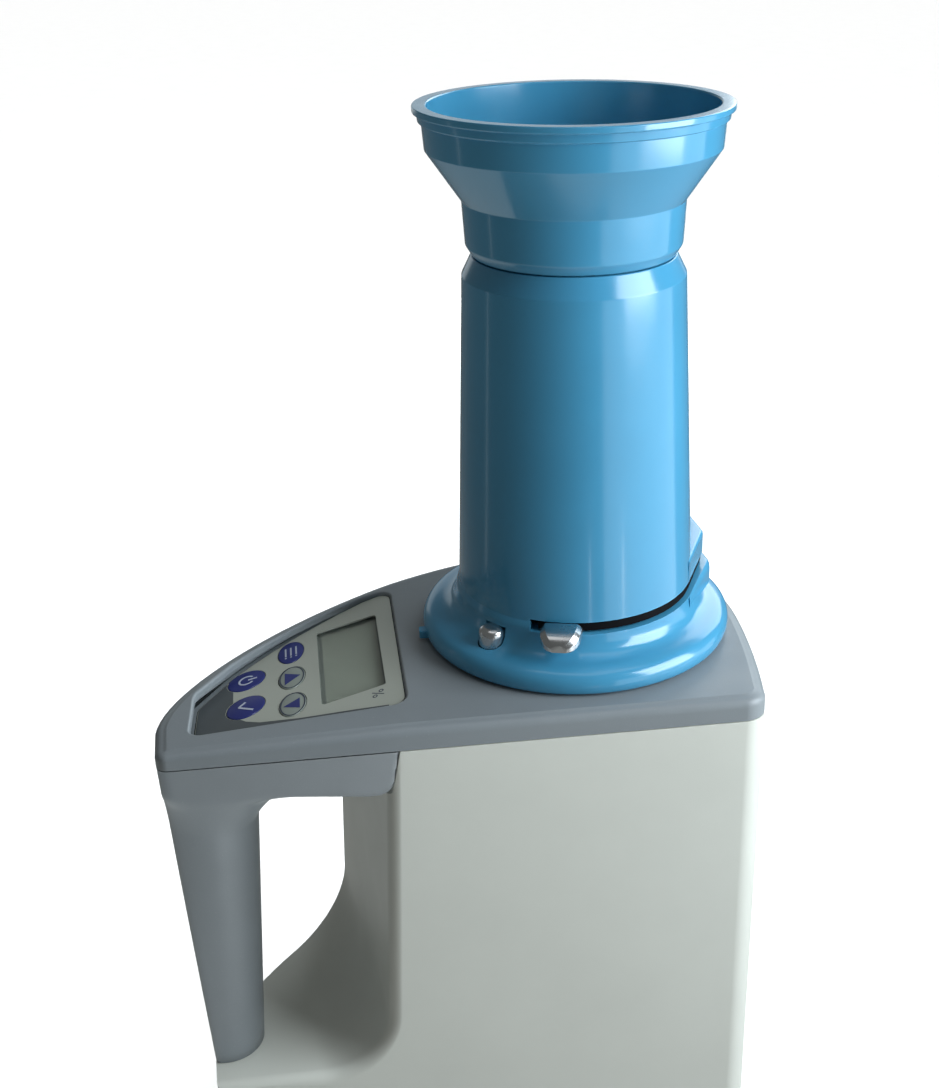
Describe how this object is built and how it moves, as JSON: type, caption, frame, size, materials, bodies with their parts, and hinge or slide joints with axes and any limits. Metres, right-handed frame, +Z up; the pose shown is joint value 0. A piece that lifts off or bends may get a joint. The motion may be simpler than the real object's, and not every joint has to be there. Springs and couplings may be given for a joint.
{
  "type": "grain moisture meter",
  "caption": "Bench grain moisture meter: off-white body with grey carrying handle and tilted keypad panel, blue drop cylinder with swing gate and lift-off funnel",
  "frame": {"origin": "middle of the footprint's bounding box, on the surface the feet stand on", "axes": "+Z up; -Y out of the long flat front; -X towards the carrying handle"},
  "size_m": [0.224, 0.1384, 0.4081],
  "materials": {
    "blue_plastic": "glossy moulded blue plastic",
    "grey_plastic": "satin grey moulding with a fine texture",
    "white_plastic": "satin off-white moulding",
    "overlay": "satin printed film, light grey-green with a dark grey band",
    "lcd_glass": "reflective display glass",
    "key_blue": "printed dark blue key caps",
    "steel": "bright steel",
    "black_plastic": "black moulded plastic",
    "rubber": "black rubber",
    "circuit_board": "green solder mask",
    "battery": "plain dark sleeve",
    "aluminium": "machined aluminium"
  },
  "bodies": {
    "main_unit": {"base_plate": "black_plastic", "base_screw_front": "steel", "base_screw_left": "steel", "base_screw_rear": "steel", "base_screw_right": "steel", "battery_1": "battery", "battery_2": "battery", "battery_3": "battery", "battery_4": "battery", "battery_holder": "black_plastic", "chamber_base": "black_plastic", "chamber_collar": "black_plastic", "cover_screw_front": "steel", "cover_screw_left": "steel", "cover_screw_rear": "steel", "cover_screw_right": "steel", "foot_front_left": "rubber", "foot_front_right": "rubber", "foot_rear_left": "rubber", "foot_rear_right": "rubber", "handle": "grey_plastic", "handle_screw": "steel", "housing": "white_plastic", "inner_electrode": "steel", "keypad_board": "circuit_board", "keypad_overlay": "overlay", "lcd_module": "black_plastic", "lcd_window": "lcd_glass", "load_cell": "aluminium", "load_cell_bracket": "aluminium", "main_board": "circuit_board", "outer_electrode": "aluminium", "switch_confirm": "black_plastic", "switch_down": "black_plastic", "switch_power": "black_plastic", "switch_up": "black_plastic", "switch_variety": "black_plastic", "temperature_probe": "steel", "top_cover": "grey_plastic"},
    "drop_cylinder": {"drop_cylinder": "blue_plastic", "gate_pin": "steel"},
    "funnel": {"funnel": "blue_plastic"},
    "gate": {"gate_plate": "black_plastic", "gate_tab": "steel"},
    "release_button": {"release_button": "steel"},
    "battery_door": {"battery_door": "black_plastic"},
    "key_variety": {"key_variety": "key_blue"},
    "key_up": {"key_up": "key_blue"},
    "key_down": {"key_down": "key_blue"},
    "key_power": {"key_power": "key_blue"},
    "key_confirm": {"key_confirm": "key_blue"}
  },
  "joints": [
    {"name": "cylinder_lift", "type": "slide", "parent": "main_unit", "child": "drop_cylinder", "axis": [0, 0, 1], "range_m": [0, 0.06]},
    {"name": "funnel_lift", "type": "slide", "parent": "drop_cylinder", "child": "funnel", "axis": [0, 0, 1], "range_m": [0, 0.05]},
    {"name": "gate_swing", "type": "hinge", "parent": "drop_cylinder", "child": "gate", "pos_m": [0.0912, 0.0215, 0.2298], "axis": [0, 0, 1], "range_deg": [0, 110]},
    {"name": "release_press", "type": "slide", "parent": "drop_cylinder", "child": "release_button", "axis": [0, 0, -1], "range_m": [0, 0.0022], "stiffness_N_per_m": 400, "springref_m": -0.002},
    {"name": "battery_door_lift", "type": "slide", "parent": "main_unit", "child": "battery_door", "axis": [0, 0, -1], "range_m": [0, 0.02]},
    {"name": "key_variety_press", "type": "slide", "parent": "main_unit", "child": "key_variety", "axis": [0.1093, 0, -0.994], "range_m": [0, 0.0004], "stiffness_N_per_m": 1500, "springref_m": -0.0002},
    {"name": "key_up_press", "type": "slide", "parent": "main_unit", "child": "key_up", "axis": [0.1093, 0, -0.994], "range_m": [0, 0.0004], "stiffness_N_per_m": 1500, "springref_m": -0.0002},
    {"name": "key_down_press", "type": "slide", "parent": "main_unit", "child": "key_down", "axis": [0.1093, 0, -0.994], "range_m": [0, 0.0004], "stiffness_N_per_m": 1500, "springref_m": -0.0002},
    {"name": "key_power_press", "type": "slide", "parent": "main_unit", "child": "key_power", "axis": [0.1093, 0, -0.994], "range_m": [0, 0.0004], "stiffness_N_per_m": 1500, "springref_m": -0.0002},
    {"name": "key_confirm_press", "type": "slide", "parent": "main_unit", "child": "key_confirm", "axis": [0.1093, 0, -0.994], "range_m": [0, 0.0004], "stiffness_N_per_m": 1500, "springref_m": -0.0002}
  ]
}
